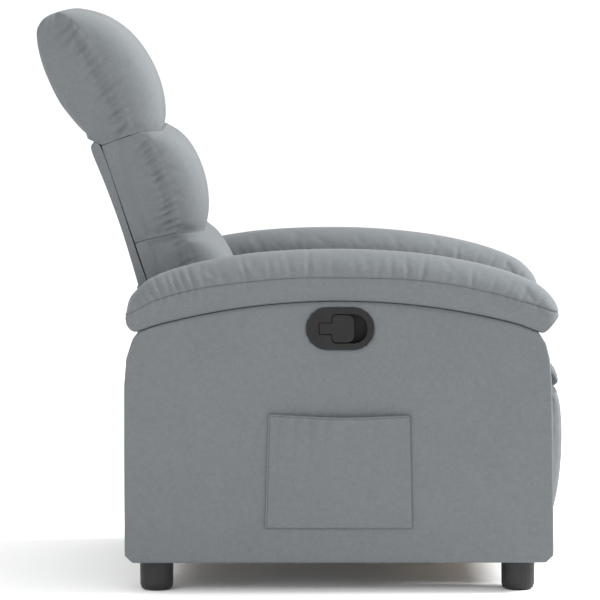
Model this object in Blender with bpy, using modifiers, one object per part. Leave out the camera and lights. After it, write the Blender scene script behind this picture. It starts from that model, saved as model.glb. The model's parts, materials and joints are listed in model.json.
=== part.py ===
"""Manual recliner armchair: pull-lever release, scissor footrest, gliding seat and reclining back.

Metres. +Z is up, the front faces -Y and the origin is on the floor under the middle of the chair.
Shapes are drawn in side view as (forward, up) pairs. The third coordinate, outward, is the
distance from the middle plane towards the sitter's right, which is -X.
"""
import math

import bmesh
import bpy
from mathutils import Matrix, Vector
from mathutils.geometry import convex_hull_2d

SIDE_VIEW = Matrix(((0, 0, -1, 0), (-1, 0, 0, 0), (0, 1, 0, 0), (0, 0, 0, 1)))
SIDES = {"right": 1, "left": -1}
GAP = 0.0003

# Arms: an open-topped padded cover around a plywood board, with an arched pad on top.
ARM_INNER, ARM_OUTER = 0.240, 0.338
ARM_WALL = 0.010
ARM_BOTTOM = 0.052
ARCH_MIDDLE, ARCH_TOP, ARCH_RADIUS = 0.0645, 0.519, 1.237
ARM_REAR, ARM_FRONT = -0.287, 0.416
PAD_INNER, PAD_OUTER, PAD_EDGE = 0.226, 0.350, 0.028
BOARD_INNER, BOARD_OUTER = 0.280, 0.298

# Feet
FOOT_HEIGHT, FOOT_RADIUS = 0.0517, 0.030
FOOT_OUTWARD, FOOT_REAR, FOOT_FRONT = 0.290, -0.2605, 0.386

# Release handle: an oval bezel with a cup, and a T-shaped lever on a vertical pin.
BEZEL_CENTRE = (0.0667, 0.4714)
BEZEL_HALF, BEZEL_STRAIGHT = 0.0380, 0.0225
BEZEL_INNER, BEZEL_OUTER = ARM_OUTER + GAP, 0.3425
CUP_DEEP, CUP_WALL = 0.3130, 0.0025
STUB_START, STUB_HALF = 0.0286, 0.0110
MOUTH_START, MOUTH_END, MOUTH_HALF = 0.0512, 0.1150, 0.0262
LEVER_INNER, LEVER_OUTER, LEVER_END = 0.3370, 0.3410, 0.0915
LEVER_GAP = 0.0008
LEVER_PIN = (0.0330, 0.3390)
LEVER_PIN_RADIUS = 0.0013

# Side pocket
POCKET_INNER, POCKET_FACE, POCKET_OUTER = ARM_OUTER + GAP, 0.3455, 0.3480

# Seat: plates that glide in channels on the arms, two wooden rails, springs and a cushion.
SEAT_HALF = 0.234
PLATE_INNER, PLATE_OUTER = 0.2225, 0.2265
RAIL_LOW, RAIL_HIGH, RAIL_THICK = 0.262, 0.298, 0.003
RAIL_INNER, RAIL_OUTER = 0.2275, ARM_INNER - 0.0005
SEAT_RAIL_LOW, SEAT_RAIL_HIGH = 0.3005, 0.3335
SPRING_SPOTS = (-0.165, -0.055, 0.055, 0.165)
SPRING_WAVES, SPRING_SWING, SPRING_WIRE = 8, 0.022, 0.0018

# Back: everything is set out from the recline pivot, leaning back by BACK_TILT.
BACK_PIVOT = (-0.185, 0.315)
BACK_TILT = math.radians(18.7)
BACK_HALF, CUSHION_EDGE = 0.222, 0.012
BRACKET_INNER, BRACKET_OUTER = 0.2085, 0.2125

# Footrest: two equal-armed scissor stages on each side, folded at STOWED_ANGLE.
SCISSOR_PIVOT = (0.313, 0.285)
LINK_LENGTH, LINK_HALF = 0.210, 0.009
STOWED_ANGLE, OPEN_ANGLE = math.radians(78), math.radians(12)
LAYER_B = (0.2070, 0.2100)
LAYER_A = (0.2120, 0.2150)
LAYER_C = (0.2172, 0.2202)
PIN_RADIUS, HOLE_RADIUS, HEAD_RADIUS, HEAD_THICK = 0.004, 0.0045, 0.007, 0.0013
EAR_ALONG, EAR_ACROSS = 0.126, -0.012
CONTROL_LENGTH, CONTROL_ANGLE = 0.1074, math.radians(78.6)
CONTROL_PIN, CONTROL_HOLE = 0.003, 0.0052
TUBE_RADIUS = 0.009

# Latch: a pawl over a striker pin, released through the cable.
PAWL_PIVOT, PAWL_TAIL, PAWL_NOSE = (0.215, 0.232), (0.150, 0.2215), (0.296, 0.239)
PAWL_LAYER = (0.2312, 0.2342)
STRIKER = (0.290, 0.225)


# ---------------------------------------------------------------- outlines

def fillet(corners, steps=4):
    """Closed outline through (forward, up, radius) corners, each rounded by an arc."""
    outline = []
    for index, (forward, up, radius) in enumerate(corners):
        corner = Vector((forward, up))
        before = (Vector(corners[index - 1][:2]) - corner).normalized()
        after = (Vector(corners[(index + 1) % len(corners)][:2]) - corner).normalized()
        if radius == 0:
            outline.append(tuple(corner))
            continue
        half = before.angle(after) / 2
        centre = corner + (before + after).normalized() * radius / math.sin(half)
        start = corner + before * radius / math.tan(half) - centre
        end = corner + after * radius / math.tan(half) - centre
        turn = start.angle_signed(end)
        for step in range(steps + 1):
            outline.append(tuple(centre + Matrix.Rotation(-turn * step / steps, 2) @ start))
    return outline


def smooth(points, steps=3):
    """Open path through the points, rounded as a Catmull-Rom curve."""
    path = []
    ends = [points[0], *points, points[-1]]
    for a, b, c, d in zip(ends, ends[1:], ends[2:], ends[3:]):
        for step in range(steps):
            t = step / steps
            path.append(tuple(
                0.5 * (2 * b[k] + (c[k] - a[k]) * t + (2 * a[k] - 5 * b[k] + 4 * c[k] - d[k]) * t ** 2
                       + (3 * b[k] - a[k] - 3 * c[k] + d[k]) * t ** 3) for k in (0, 1)))
    return path + [tuple(points[-1])]


def circle(centre, radius, sides=16):
    turns = [2 * math.pi * step / sides for step in range(sides)]
    return [(centre[0] + radius * math.cos(t), centre[1] + radius * math.sin(t)) for t in turns]


def bar(start, end, half, steps=6):
    """Outline of a flat bar with round ends about two points."""
    heading = math.atan2(end[1] - start[1], end[0] - start[0])
    outline = []
    for centre, facing in ((start, heading + math.pi), (end, heading)):
        for step in range(steps + 1):
            turn = facing - math.pi / 2 + math.pi * step / steps
            outline.append((centre[0] + half * math.cos(turn), centre[1] + half * math.sin(turn)))
    return outline


def around(points):
    """Convex outline around the points."""
    return [points[index] for index in convex_hull_2d(points)]


def arch(forward, drop=0.0):
    """Point on the arched line between an arm's cover and its pad."""
    rise = math.sqrt(ARCH_RADIUS ** 2 - (forward - ARCH_MIDDLE) ** 2) - ARCH_RADIUS
    return (forward, ARCH_TOP + rise - drop)


def arch_line(start, end, drop, steps=8):
    return [arch(start + (end - start) * step / steps, drop) for step in range(steps + 1)]


def on_back(points):
    """Points given as (ahead of the back frame's line, up along the back), turned into side view."""
    sine, cosine = math.sin(BACK_TILT), math.cos(BACK_TILT)
    return [(BACK_PIVOT[0] + ahead * cosine - along * sine, BACK_PIVOT[1] + ahead * sine + along * cosine)
            for ahead, along in points]


# ---------------------------------------------------------------- solids

def clear_scene():
    for old in list(bpy.data.objects):
        bpy.data.objects.remove(old)


def new_collection(name):
    collection = bpy.data.collections.new(name)
    bpy.context.scene.collection.children.link(collection)
    return collection


def new_material(name, colour, roughness, metallic=0.0):
    material = bpy.data.materials.new(name)
    material.use_nodes = True
    shader = material.node_tree.nodes["Principled BSDF"]
    shader.inputs["Base Color"].default_value = (*colour, 1)
    shader.inputs["Roughness"].default_value = roughness
    shader.inputs["Metallic"].default_value = metallic
    return material


def add_mesh(name, shape, material):
    """Object from a bmesh drawn in side-view coordinates."""
    bmesh.ops.remove_doubles(shape, verts=shape.verts, dist=0.00001)
    bmesh.ops.recalc_face_normals(shape, faces=shape.faces)
    mesh = bpy.data.meshes.new(name)
    shape.to_mesh(mesh)
    shape.free()
    mesh.transform(SIDE_VIEW)
    mesh.materials.append(material)
    mesh.shade_smooth()
    mesh.set_sharp_from_angle(angle=math.radians(35))
    piece = bpy.data.objects.new(name, mesh)
    PARTS.objects.link(piece)
    return piece


def add_curve(name, curve, material):
    """Object from the mesh of a curve drawn in side-view coordinates."""
    guide = bpy.data.objects.new(name + "_guide", curve)
    PARTS.objects.link(guide)
    bpy.context.view_layer.update()
    mesh = bpy.data.meshes.new_from_object(guide.evaluated_get(bpy.context.evaluated_depsgraph_get()))
    bpy.data.objects.remove(guide)
    shape = bmesh.new()
    shape.from_mesh(mesh)
    return add_mesh(name, shape, material)


def plate(name, outlines, near, far, material, edge=0.0, rings=1):
    """Flat piece from near to far outward; outlines after the first are holes."""
    curve = bpy.data.curves.new(name, "CURVE")
    curve.dimensions = "2D"
    curve.fill_mode = "BOTH"
    curve.extrude = (far - near) / 2 - edge
    curve.bevel_depth = edge
    curve.bevel_resolution = rings
    curve.offset = -edge
    for outline in outlines:
        spline = curve.splines.new("POLY")
        spline.points.add(len(outline) - 1)
        for point, (forward, up) in zip(spline.points, outline):
            point.co = (forward, up, 0, 1)
        spline.use_cyclic_u = True
    piece = add_curve(name, curve, material)
    piece.data.transform(Matrix.Translation((-(near + far) / 2, 0, 0)))
    return piece


def block(name, forward, up, outward, material, edge=0.0):
    """Box between two values on each side-view axis, with its edges rounded."""
    shape = bmesh.new()
    bmesh.ops.create_cube(shape, size=1)
    spans = (forward, up, outward)
    bmesh.ops.scale(shape, vec=[high - low for low, high in spans], verts=shape.verts)
    bmesh.ops.translate(shape, vec=[(low + high) / 2 for low, high in spans], verts=shape.verts)
    piece = add_mesh(name, shape, material)
    if edge:
        bevel = piece.modifiers.new("rounded_edges", "BEVEL")
        bevel.width = edge
        bevel.segments = 2
    return piece


def rod(name, centre, near, far, radius, material, sides=16):
    """Round bar that runs outward from near to far."""
    shape = bmesh.new()
    place = Matrix.Translation((*centre, (near + far) / 2))
    bmesh.ops.create_cone(shape, cap_ends=True, segments=sides, radius1=radius, radius2=radius,
                          depth=abs(far - near), matrix=place)
    return add_mesh(name, shape, material)


def wire(name, points, radius, material, resolution=2):
    """Round wire through (forward, up, outward) points."""
    curve = bpy.data.curves.new(name, "CURVE")
    curve.dimensions = "3D"
    curve.bevel_depth = radius
    curve.bevel_resolution = resolution
    curve.use_fill_caps = True
    spline = curve.splines.new("POLY")
    spline.points.add(len(points) - 1)
    for point, spot in zip(spline.points, points):
        point.co = (*spot, 1)
    return add_curve(name, curve, material)


def combine(target, tool, operation):
    """Join a tool to the target or cut it away, and keep the tool as a guide."""
    modifier = target.modifiers.new(tool.name, "BOOLEAN")
    modifier.object = tool
    modifier.operation = operation
    tool.hide_render = True
    tool.display_type = "WIRE"
    PARTS.objects.unlink(tool)
    CUTTERS.objects.link(tool)


def add_pin(target, centre, near, head, side, material, radius=PIN_RADIUS, head_radius=HEAD_RADIUS):
    """Headed pin on the target, from near outward to the outer face of its head."""
    parts = ((near, head, radius), (head - HEAD_THICK, head, head_radius))
    for index, (low, high, size) in enumerate(parts):
        name = f"{target.name}_pin_{len(target.modifiers)}_{index}"
        combine(target, rod(name, centre, side * low, side * high, size, material), "UNION")


def span(side, near, far):
    """Outward interval on one side of the chair."""
    return (near, far) if side == 1 else (-far, -near)


def pivot(name, forward, up, outward=0.0, parent=None):
    """Empty on a joint's axis, carrying the pieces that move about it."""
    empty = bpy.data.objects.new(name, None)
    empty.empty_display_size = 0.03
    PARTS.objects.link(empty)
    hang(empty, parent)
    empty.matrix_world = Matrix.Translation(SIDE_VIEW @ Vector((forward, up, outward)))
    bpy.context.view_layer.update()
    return empty


def hang(piece, parent):
    if parent:
        piece.parent = parent
        piece.matrix_parent_inverse = parent.matrix_world.inverted()


def hang_all(pieces, parent):
    for piece in pieces:
        hang(piece, parent)


# ---------------------------------------------------------------- arms and base

def arm_cover(word, side):
    edge = [(0.4430, 0.2600)] + smooth([(0.4350, 0.4320), (0.4270, 0.4600), arch(ARM_FRONT)], 2)
    edge += arch_line(ARM_FRONT, ARM_REAR, 0.0)[1:-1]
    edge += smooth([arch(ARM_REAR), (-0.3020, 0.4470), (-0.3160, 0.3700)], 2)
    corners = [(-0.3165, ARM_BOTTOM, 0.016), (0.4475, ARM_BOTTOM, 0.016)] + [(*point, 0) for point in edge]
    outline = fillet(corners)
    cover = plate(f"arm_cover_{word}", [outline], *span(side, ARM_INNER, ARM_OUTER), FABRIC, edge=0.006)
    hollow = [(-0.3065, 0.062), (0.4375, 0.062), (0.4240, 0.400), (0.4050, 0.460),
              (0.4050, 0.560), (-0.2800, 0.560), (-0.2800, 0.460), (-0.3065, 0.370)]
    inside = span(side, ARM_INNER + ARM_WALL, ARM_OUTER - ARM_WALL)
    combine(cover, plate(f"arm_hollow_{word}", [hollow], *inside, FABRIC), "DIFFERENCE")
    return cover


def arm_board(word, side):
    outline = [(-0.300, 0.0625), (0.430, 0.0625), (0.418, 0.400)]
    outline += arch_line(0.398, -0.272, 0.012) + [(-0.300, 0.370)]
    return plate(f"arm_board_{word}", [outline], *span(side, BOARD_INNER, BOARD_OUTER), WOOD)


def arm_pad(word, side):
    outline = smooth([(0.4385, 0.4700), (0.4565, 0.4980), (0.4230, 0.5335), (0.3520, 0.5710),
                      (0.2630, 0.5916), (0.0670, 0.6069), (-0.1000, 0.5930), (-0.1820, 0.5740),
                      (-0.2600, 0.5540), (-0.3060, 0.5350), (-0.3156, 0.5000), (-0.3030, 0.4700)])
    outline += arch_line(ARM_REAR, ARM_FRONT, -0.0006)
    return plate(f"arm_pad_{word}", [outline], *span(side, PAD_INNER, PAD_OUTER), FABRIC, PAD_EDGE, 2)


def foot(name, forward, outward):
    """Turned plastic foot with a rounded lower edge."""
    profile = [(0, FOOT_HEIGHT), (FOOT_RADIUS, FOOT_HEIGHT), (0.0295, 0.0100), (0.0278, 0.0035),
               (0.0235, 0), (0, 0)]
    mesh = bpy.data.meshes.new(name)
    edges = [(index, index + 1) for index in range(len(profile) - 1)]
    mesh.from_pydata([(radius, 0, up) for radius, up in profile], edges, [])
    mesh.materials.append(PLASTIC)
    piece = bpy.data.objects.new(name, mesh)
    PARTS.objects.link(piece)
    piece.location = (-outward, -forward, 0)
    turn = piece.modifiers.new("turned", "SCREW")
    turn.steps = turn.render_steps = 24
    turn.use_merge_vertices = True
    turn.merge_threshold = 0.00001
    return piece


def cross_pieces():
    wide = (-ARM_INNER + 0.0005, ARM_INNER - 0.0005)
    block("front_rail", (0.215, 0.240), (0.062, 0.122), wide, WOOD, 0.002)
    block("rear_rail", (-0.262, -0.237), (0.075, 0.135), wide, WOOD, 0.002)
    block("rear_panel", (-0.276, -0.2625), (0.058, 0.330), wide, FABRIC, 0.004)


def glide_rail(word, side):
    channel = block(f"glide_rail_{word}", (-0.250, 0.290), (RAIL_LOW, RAIL_HIGH),
                    span(side, RAIL_INNER, RAIL_OUTER), STEEL)
    groove = block(f"glide_groove_{word}", (-0.260, 0.300), (RAIL_LOW + RAIL_THICK, RAIL_HIGH - RAIL_THICK),
                   span(side, RAIL_INNER - 0.001, RAIL_OUTER - RAIL_THICK), STEEL)
    combine(channel, groove, "DIFFERENCE")


def side_pocket():
    outline = fillet([(-0.0638, 0.1160, 0.010), (0.1961, 0.1160, 0.010), (0.1903, 0.3176, 0.002),
                      (-0.0575, 0.3204, 0.002)])
    pouch = plate("side_pocket", [outline], POCKET_INNER, POCKET_OUTER, FABRIC)
    inside = [(-0.0603, 0.1195), (0.1926, 0.1195), (0.1868, 0.3400), (-0.0540, 0.3400)]
    combine(pouch, plate("pocket_inside", [inside], POCKET_INNER - 0.001, POCKET_FACE, FABRIC), "DIFFERENCE")


# ---------------------------------------------------------------- release handle, cable and latch

def mouth(grow):
    """Outline of the bezel's opening: a stub on the left, and a wide mouth with a round end."""
    middle = BEZEL_CENTRE[1]
    stub, wide = STUB_HALF + grow, MOUTH_HALF + grow
    left, step, right = STUB_START - grow, MOUTH_START - grow, MOUTH_END + grow
    lower = [(left, middle - stub, 0.003), (step, middle - stub, 0.001), (step, middle - wide, 0.008),
             (right, middle - wide, 0.024)]
    upper = [(forward, 2 * middle - up, radius) for forward, up, radius in reversed(lower)]
    return fillet(lower + upper)


def vertical_hole(name, radius, reach):
    """Upright cutter on the lever pin's axis."""
    shape = bmesh.new()
    lying = Matrix.Rotation(math.pi / 2, 4, "X")
    place = Matrix.Translation((LEVER_PIN[0], BEZEL_CENTRE[1], LEVER_PIN[1])) @ lying
    bmesh.ops.create_cone(shape, cap_ends=True, segments=12, radius1=radius, radius2=radius,
                          depth=2 * reach, matrix=place)
    return add_mesh(name, shape, STEEL)


def handle_bezel(cover):
    middle, up = BEZEL_CENTRE
    oblong = bar((middle - BEZEL_STRAIGHT, up), (middle + BEZEL_STRAIGHT, up), BEZEL_HALF, 14)
    bezel = plate("handle_bezel", [oblong], BEZEL_INNER, BEZEL_OUTER, PLASTIC, 0.0015)
    combine(bezel, plate("bezel_cup", [mouth(CUP_WALL)], CUP_DEEP, BEZEL_OUTER - 0.002, PLASTIC), "UNION")
    opening = plate("bezel_mouth", [mouth(0)], CUP_DEEP + CUP_WALL, BEZEL_OUTER + 0.01, PLASTIC)
    combine(bezel, opening, "DIFFERENCE")
    pin_hole = vertical_hole("bezel_pin_hole", LEVER_PIN_RADIUS + GAP, STUB_HALF + 0.0017)
    combine(bezel, pin_hole, "DIFFERENCE")
    seat = plate("bezel_seat", [mouth(CUP_WALL + 0.001)], ARM_OUTER - 0.014, ARM_OUTER + 0.01, FABRIC)
    combine(cover, seat, "DIFFERENCE")
    vertical_hole("lever_pin", LEVER_PIN_RADIUS, STUB_HALF + 0.0013)


def handle_lever(parent):
    middle = BEZEL_CENTRE[1]
    stub, paddle = STUB_HALF - LEVER_GAP, MOUTH_HALF - 2 * LEVER_GAP
    left, step = STUB_START + LEVER_GAP, MOUTH_START + LEVER_GAP
    lower = [(left, middle - stub, 0.003), (step, middle - stub, 0.0), (step, middle - paddle, 0.007),
             (LEVER_END, middle - paddle, 0.012)]
    upper = [(forward, 2 * middle - up, radius) for forward, up, radius in reversed(lower)]
    lever = plate("handle_lever", [fillet(lower + upper)], LEVER_INNER, LEVER_OUTER, PLASTIC, 0.0008)
    rib = block("lever_rib", (LEVER_END - 0.006, LEVER_END - 0.003), (middle - 0.014, middle + 0.014),
                (LEVER_INNER - 0.008, LEVER_INNER + 0.002), PLASTIC)
    combine(lever, rib, "UNION")
    combine(lever, vertical_hole("lever_bore", LEVER_PIN_RADIUS + GAP, STUB_HALF + 0.01), "DIFFERENCE")
    hang(lever, parent)


def release_cable(cover, board):
    """Cable from the back of the cup, through the arm board, to the arm's inner wall."""
    route = smooth([(0.0600, 0.4400), (0.0850, 0.3500), (0.1150, 0.2500), (0.1200, 0.2150)], 4)
    depth = (CUP_DEEP - GAP, 0.306, 0.270, ARM_INNER + GAP)
    points = [(0.0600, 0.4600, depth[0]), (0.0600, 0.4600, depth[1])]
    points += [(forward, up, depth[1] + (depth[2] - depth[1]) * step / (len(route) - 1))
               for step, (forward, up) in enumerate(route)]
    points += [(0.1200, 0.2080, 0.262), (0.1200, 0.2060, 0.252), (0.1200, 0.2060, depth[3])]
    wire("release_cable", points, 0.003, PLASTIC, 1)
    slot = plate("board_cable_hole", [bar((0.060, 0.440), (0.121, 0.212), 0.011)], 0.27, 0.31, WOOD)
    combine(board, slot, "DIFFERENCE")
    exit_hole = rod("cover_cable_hole", (0.1200, 0.2060), ARM_INNER - 0.01, ARM_INNER + 0.02, 0.005, FABRIC)
    combine(cover, exit_hole, "DIFFERENCE")


def latch_bracket():
    bracket = block("latch_bracket", (0.135, 0.245), (0.195, 0.252), (0.2365, RAIL_OUTER), STEEL)
    stud = rod("latch_stud", PAWL_PIVOT, 0.2295, 0.2380, PIN_RADIUS, STEEL)
    head = rod("latch_stud_head", PAWL_PIVOT, 0.2292, 0.2308, HEAD_RADIUS, STEEL)
    combine(bracket, stud, "UNION")
    combine(bracket, head, "UNION")


def latch_pawl(parent):
    outline = fillet([(PAWL_TAIL[0] - 0.006, PAWL_TAIL[1] - 0.006, 0.004),
                      (PAWL_PIVOT[0], PAWL_PIVOT[1] - 0.010, 0.006),
                      (PAWL_NOSE[0] + 0.007, PAWL_NOSE[1] - 0.007, 0.004),
                      (PAWL_NOSE[0] + 0.007, PAWL_NOSE[1] + 0.005, 0.004),
                      (PAWL_PIVOT[0], PAWL_PIVOT[1] + 0.010, 0.006),
                      (PAWL_TAIL[0] - 0.006, PAWL_TAIL[1] + 0.006, 0.004)])
    pawl = plate("latch_pawl", [outline, circle(PAWL_PIVOT, HOLE_RADIUS)], *PAWL_LAYER, STEEL)
    hang(pawl, parent)


# ---------------------------------------------------------------- seat

def seat_plate(word, side, slot_low, slot_high):
    outline = fillet([(-0.215, 0.252, 0.006), (0.283, 0.252, 0.004), (0.283, 0.066, 0.006),
                      (0.331, 0.066, 0.006), (0.331, 0.296, 0.004), (0.385, 0.3005, 0.004),
                      (0.385, 0.3335, 0.004), (-0.215, 0.3335, 0.010)])
    pivot_forward = SCISSOR_PIVOT[0]
    slot = bar((pivot_forward, slot_low), (pivot_forward, slot_high), HOLE_RADIUS)
    holes = [slot, circle(SCISSOR_PIVOT, HOLE_RADIUS + 0.001), circle(BACK_PIVOT, HOLE_RADIUS + 0.001)]
    piece = plate(f"seat_plate_{word}", [outline, *holes], *span(side, PLATE_INNER, PLATE_OUTER), STEEL)
    if side == 1:
        combine(piece, rod("striker_pin", STRIKER, PLATE_OUTER - 0.002, 0.2345, 0.0035, STEEL), "UNION")
    blocks = []
    for place, forward in (("rear", -0.175), ("front", 0.165)):
        along = (forward - 0.025, forward + 0.025)
        blocks.append(block(f"glide_block_{place}_{word}", along, (0.2655, 0.2945),
                            span(side, PLATE_OUTER + GAP, 0.2362), NYLON, 0.001))
    return [piece, *blocks]


def seat_spring(number, outward):
    """Zigzag wire spring between the seat's rear and front rails."""
    steps = SPRING_WAVES * 6
    start, end = -0.140, 0.375
    points = []
    for step in range(steps + 1):
        sway = SPRING_SWING * math.sin(2 * math.pi * SPRING_WAVES * step / steps)
        forward = start + (end - start) * step / steps
        points.append((forward, SEAT_RAIL_HIGH + SPRING_WIRE + GAP, outward + sway))
    return wire(f"seat_spring_{number}", points, SPRING_WIRE, STEEL, 0)


def seat_cushion():
    front = smooth([(0.3400, 0.4640), (0.4050, 0.4520), (0.4400, 0.4300), (0.4550, 0.4000),
                    (0.4635, 0.3700), (0.4550, 0.3560), (0.4240, 0.3530), (0.3920, 0.3400)], 2)
    outline = [(-0.125, 0.3390), (-0.125, 0.4550), (0.0, 0.4650), (0.250, 0.4660), *front]
    return plate("seat_cushion", [outline], -SEAT_HALF, SEAT_HALF, FABRIC, 0.012, 2)


def seat(parent, slot_low, slot_high):
    pieces = [seat_cushion()]
    for word, side in SIDES.items():
        pieces += seat_plate(word, side, slot_low, slot_high)
    wide = (-PLATE_INNER + 0.0005, PLATE_INNER - 0.0005)
    for place, forward in (("front", (0.345, 0.383)), ("rear", (-0.150, -0.115))):
        pieces.append(block(f"seat_rail_{place}", forward, (SEAT_RAIL_LOW, SEAT_RAIL_HIGH), wide, WOOD, 0.002))
    pieces += [seat_spring(number, outward) for number, outward in enumerate(SPRING_SPOTS, 1)]
    hang_all(pieces, parent)


# ---------------------------------------------------------------- back

def back_bracket(word, side):
    outline = on_back(fillet([(0.014, -0.012, 0.008), (0.014, 0.014, 0.006), (0.004, 0.075, 0.004),
                              (0.004, 0.300, 0.0), (-0.013, 0.300, 0.0), (-0.013, 0.060, 0.004),
                              (-0.016, -0.012, 0.010)]))
    bracket = plate(f"back_bracket_{word}", [outline], *span(side, BRACKET_INNER, BRACKET_OUTER), STEEL)
    add_pin(bracket, BACK_PIVOT, BRACKET_OUTER - 0.002, PLATE_OUTER + GAP + HEAD_THICK, side, STEEL)
    return bracket


def back_panels():
    frame = [(-0.013, 0.035), (0.004, 0.035), (0.004, 0.495), (-0.013, 0.495)]
    cover = [(-0.031, 0.045), (-0.0145, 0.045), (-0.0145, 0.5035), (-0.031, 0.5035)]
    half = BRACKET_INNER - GAP
    return [plate("back_frame", [on_back(frame)], -half, half, WOOD),
            plate("back_cover", [on_back(cover)], -BACK_HALF + 0.0005, BACK_HALF - 0.0005, FABRIC, 0.004)]


def back_cushions():
    shapes = {
        "lumbar_cushion": [(0.0055, 0.0880), (0.0450, 0.0880), (0.0700, 0.1180),
                           *smooth([(0.1150, 0.1235), (0.1330, 0.1500), (0.1400, 0.2050), (0.1340, 0.2600),
                                    (0.1130, 0.2970)], 2), (0.0055, 0.3180)],
        "middle_cushion": [(0.0055, 0.3205),
                           *smooth([(0.1130, 0.2995), (0.1300, 0.3350), (0.1400, 0.3700), (0.1410, 0.4100),
                                    (0.1310, 0.4550), (0.0980, 0.4957)], 2), (0.0055, 0.5027)],
        "head_cushion": [(-0.0310, 0.5082), *smooth([(0.0980, 0.4977), (0.1100, 0.5220), (0.1204, 0.5900),
                         (0.1050, 0.6650), (0.0700, 0.7180), (0.0189, 0.7500), (-0.0250, 0.7525),
                         (-0.0560, 0.7330), (-0.0660, 0.6850), (-0.0610, 0.6150), (-0.0420, 0.5520)], 2)],
    }
    return [plate(name, [on_back(outline)], -BACK_HALF, BACK_HALF, FABRIC, CUSHION_EDGE, 2)
            for name, outline in shapes.items()]


def back(parent):
    pieces = back_panels() + back_cushions()
    pieces += [back_bracket(word, side) for word, side in SIDES.items()]
    hang_all(pieces, parent)


# ---------------------------------------------------------------- footrest

def scissor_points():
    """Pivots of the folded scissor: upper and lower rows, crossings and the control link's ends."""
    forward, up = SCISSOR_PIVOT
    reach, drop = LINK_LENGTH * math.cos(STOWED_ANGLE), LINK_LENGTH * math.sin(STOWED_ANGLE)
    points = {"base_top": (forward, up), "base_low": (forward, up - drop),
              "first_top": (forward + reach, up), "first_low": (forward + reach, up - drop),
              "rest_top": (forward + 2 * reach, up)}
    points["cross_1"] = (forward + reach / 2, up - drop / 2)
    points["cross_2"] = (forward + 1.5 * reach, up - drop / 2)
    cosine, sine = math.cos(STOWED_ANGLE), math.sin(STOWED_ANGLE)
    points["ear"] = (forward + reach + EAR_ALONG * cosine + EAR_ACROSS * sine,
                     up - EAR_ALONG * sine + EAR_ACROSS * cosine)
    points["rest_pin"] = (points["ear"][0] + CONTROL_LENGTH * math.cos(CONTROL_ANGLE),
                          points["ear"][1] + CONTROL_LENGTH * math.sin(CONTROL_ANGLE))
    return points


def link(name, side, layer, ends, holes, pins, material):
    """Bar with holes, and pins given as (centre, outer face of head)."""
    outlines = [bar(*ends, LINK_HALF)] + [circle(hole, HOLE_RADIUS) for hole in holes]
    piece = plate(name, outlines, *span(side, *layer), material)
    for centre, head in pins:
        add_pin(piece, centre, layer[1] - 0.0015, head, side, material)
    return piece


def scissor_half(word, side, at, parent):
    """One side's links, each hung from the pivot that its joint turns about."""
    beside = LAYER_A[1] + GAP + HEAD_THICK
    outside = PLATE_OUTER + GAP + HEAD_THICK
    middle = side * sum(LAYER_A) / 2
    drive_axis = pivot(f"drive_axis_{word}", *at["base_top"], middle, parent)
    drive = link(f"drive_link_{word}", side, LAYER_A, (at["base_top"], at["first_low"]),
                 [at["cross_1"], at["first_low"]], [(at["base_top"], outside)], STEEL)
    hang(drive, drive_axis)
    cross_axis = pivot(f"cross_axis_{word}", *at["cross_1"], middle, drive_axis)
    cross = link(f"cross_link_{word}", side, LAYER_B, (at["base_low"], at["first_top"]), [],
                 [(at["base_low"], outside), (at["cross_1"], beside), (at["first_top"], beside)], STEEL)
    hang(cross, cross_axis)
    lift_axis = pivot(f"lift_axis_{word}", *at["first_low"], middle, drive_axis)
    lift = link(f"lift_link_{word}", side, LAYER_B, (at["first_low"], at["rest_top"]), [],
                [(at["first_low"], beside), (at["cross_2"], beside), (at["rest_top"], beside)], STEEL)
    hang(lift, lift_axis)
    ear_axis = pivot(f"ear_axis_{word}", *at["first_top"], middle, cross_axis)
    hang(ear_link(word, side, at), ear_axis)
    control_axis = pivot(f"control_axis_{word}", *at["ear"], middle, ear_axis)
    control = plate(f"control_link_{word}", [bar(at["ear"], at["rest_pin"], LINK_HALF - 0.001),
                                             circle(at["ear"], HOLE_RADIUS),
                                             circle(at["rest_pin"], CONTROL_HOLE)],
                    *span(side, *LAYER_C), STEEL)
    hang(control, control_axis)
    return drive_axis, lift_axis


def ear_link(word, side, at):
    """Short upper link whose lower end widens to carry the control link's pin."""
    holes = [circle(at["first_top"], HOLE_RADIUS), circle(at["cross_2"], HOLE_RADIUS)]
    eyes = [circle(at[spot], LINK_HALF) for spot in ("first_top", "cross_2", "ear")]
    piece = plate(f"ear_link_{word}", [around(sum(eyes, [])), *holes], *span(side, *LAYER_A), STEEL)
    add_pin(piece, at["ear"], LAYER_A[1] - 0.0015, LAYER_C[1] + GAP + HEAD_THICK, side, STEEL)
    return piece


def rest_bracket(word, side, at):
    """Flat flange about the footrest pivots, with a foot that lies against the board."""
    top, pin = at["rest_top"], at["rest_pin"]
    face = 0.4140
    outline = fillet([(top[0] - 0.009, top[1] + 0.009, 0.006), (top[0] - 0.009, top[1] - 0.012, 0.004),
                      (pin[0] - 0.008, pin[1] - 0.008, 0.005), (face, pin[1] - 0.020, 0.0),
                      (face, top[1] + 0.020, 0.0)])
    outlines = [outline, circle(top, HOLE_RADIUS)]
    flange = plate(f"rest_bracket_{word}", outlines, *span(side, *LAYER_A), STEEL)
    base = block(f"rest_bracket_foot_{word}", (face - 0.003, face), (top[1] - 0.060, top[1] + 0.020),
                 span(side, 0.175, LAYER_A[1] - 0.0002), STEEL)
    combine(flange, base, "UNION")
    add_pin(flange, pin, LAYER_A[1] - 0.0015, LAYER_C[1] + GAP + HEAD_THICK, side, STEEL,
            radius=CONTROL_PIN, head_radius=0.006)
    return flange


def footrest_board():
    return block("footrest_board", (0.4145, 0.4295), (0.100, 0.312), (-0.205, 0.205), WOOD, 0.002)


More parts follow.
